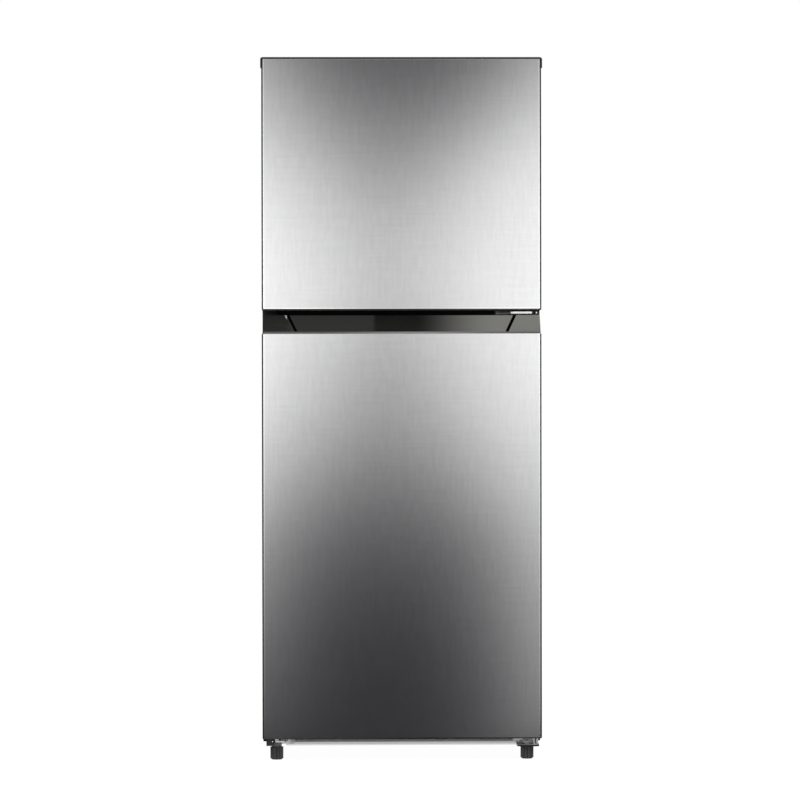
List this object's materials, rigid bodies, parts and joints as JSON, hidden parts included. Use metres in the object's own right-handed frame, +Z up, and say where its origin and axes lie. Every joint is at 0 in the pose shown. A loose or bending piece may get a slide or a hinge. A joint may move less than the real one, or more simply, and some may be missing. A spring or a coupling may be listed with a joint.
{
  "type": "top freezer refrigerator",
  "caption": "Free-standing refrigerator with a freezer door over a fresh food door, brushed steel look fronts, black recessed handle band, hinged doors, shelves, bins, drawer and cooling unit",
  "frame": {"origin": "on the floor, under the middle of the bounding box", "axes": "X to the viewer's right facing the doors, Y to the back, Z up; the doors face -Y"},
  "size_m": [0.599, 0.65, 1.502],
  "materials": {
    "cabinet_paint": "satin dark grey powder coat",
    "foam": "rigid polyurethane foam",
    "galvanised": "galvanised sheet",
    "rail_paint": "dark painted strip",
    "white_liner": "vacuum formed white plastic",
    "black_plastic": "moulded black plastic",
    "handle_black": "glossy black moulding",
    "black_paint": "black enamel",
    "zinc": "zinc plated steel",
    "steel_look": "vertical brushed steel",
    "gasket_grey": "soft magnetic seal",
    "clear_plastic": "clear moulded plastic",
    "shelf_glass": "toughened glass",
    "copper": "drawn copper tube",
    "bare_aluminium": "bare aluminium fins",
    "control_grey": "moulded grey plastic"
  },
  "bodies": {
    "cabinet": {"cabinet_shell": "cabinet_paint", "cabinet_insulation": "foam", "bottom_pan": "galvanised", "back_panel": "galvanised", "rear_spacers": "black_plastic", "mullion_rail": "rail_paint", "base_rail": "galvanised", "fridge_liner": "white_liner", "freezer_liner": "white_liner", "lower_hinge": "black_paint", "left_foot_bracket": "zinc", "middle_hinge": "zinc", "top_hinge": "zinc", "hinge_bolts": "zinc", "top_hinge_cover": "black_plastic", "machine_base": "galvanised", "roller_axles": "zinc", "compressor": "black_paint", "compressor_grommets": "gasket_grey", "terminal_cover": "black_plastic", "drip_tray": "black_plastic", "refrigerant_tubes": "copper", "evaporator_cover": "white_liner", "evaporator": "bare_aluminium", "fan_motor": "black_plastic", "freezer_shelf": "white_liner", "air_duct": "white_liner", "control_box": "white_liner", "lamp_lens": "clear_plastic", "fridge_shelf_upper": "shelf_glass", "fridge_shelf_lower": "shelf_glass", "crisper_cover": "shelf_glass", "shelf_trims": "white_liner"},
    "freezer_door": {"freezer_door_panel": "steel_look", "freezer_door_foam": "foam", "freezer_door_liner": "white_liner", "freezer_door_gasket": "gasket_grey", "freezer_bin_lower": "clear_plastic", "freezer_bin_upper": "clear_plastic", "freezer_door_bushes": "black_plastic", "freezer_door_top_cap": "black_plastic", "freezer_door_bottom_cap": "black_plastic"},
    "fridge_door": {"fridge_door_panel": "steel_look", "fridge_door_foam": "foam", "fridge_door_liner": "white_liner", "fridge_door_gasket": "gasket_grey", "fridge_bin_lower": "clear_plastic", "fridge_bin_middle": "clear_plastic", "fridge_bin_upper": "clear_plastic", "fridge_door_bushes": "black_plastic", "fridge_door_handle_cap": "handle_black", "fridge_door_bottom_cap": "black_plastic"},
    "crisper": {"crisper_drawer": "clear_plastic"},
    "fan": {"evaporator_fan": "white_liner"},
    "knob": {"temperature_knob": "control_grey"},
    "slider": {"freezer_slider": "control_grey"},
    "foot_left": {"front_foot_left": "black_plastic"},
    "foot_right": {"front_foot_right": "black_plastic"},
    "roller_left": {"rear_roller_left": "black_plastic"},
    "roller_right": {"rear_roller_right": "black_plastic"}
  },
  "joints": [
    {"name": "freezer_door_hinge", "type": "hinge", "parent": "cabinet", "child": "freezer_door", "pos_m": [0.283, -0.286, 1.2], "axis": [0, 0, 1], "range_deg": [0, 120]},
    {"name": "fridge_door_hinge", "type": "hinge", "parent": "cabinet", "child": "fridge_door", "pos_m": [0.283, -0.286, 0.5], "axis": [0, 0, 1], "range_deg": [0, 120]},
    {"name": "crisper_slide", "type": "slide", "parent": "cabinet", "child": "crisper", "axis": [0, -1, 0], "range_m": [0, 0.17]},
    {"name": "fan_spin", "type": "hinge", "parent": "cabinet", "child": "fan", "pos_m": [0, 0.213, 1.341], "axis": [0, 1, 0], "continuous": true},
    {"name": "knob_turn", "type": "hinge", "parent": "cabinet", "child": "knob", "pos_m": [0.066, -0.068, 0.89675], "axis": [0, -1, 0], "range_deg": [-120, 120]},
    {"name": "slider_slide", "type": "slide", "parent": "cabinet", "child": "slider", "axis": [1, 0, 0], "range_m": [-0.02, 0.02]},
    {"name": "foot_left_screw", "type": "slide", "parent": "cabinet", "child": "foot_left", "axis": [0, 0, -1], "range_m": [0, 0.008]},
    {"name": "foot_right_screw", "type": "slide", "parent": "cabinet", "child": "foot_right", "axis": [0, 0, -1], "range_m": [0, 0.008]},
    {"name": "roller_left_spin", "type": "hinge", "parent": "cabinet", "child": "roller_left", "pos_m": [-0.23425, 0.268, 0.015], "axis": [1, 0, 0], "continuous": true},
    {"name": "roller_right_spin", "type": "hinge", "parent": "cabinet", "child": "roller_right", "pos_m": [0.23425, 0.268, 0.015], "axis": [1, 0, 0], "continuous": true}
  ],
  "couplings": [
    {"joint": "crisper_slide", "follows": "fridge_door_hinge", "m_per_rad": 0.08116}
  ]
}
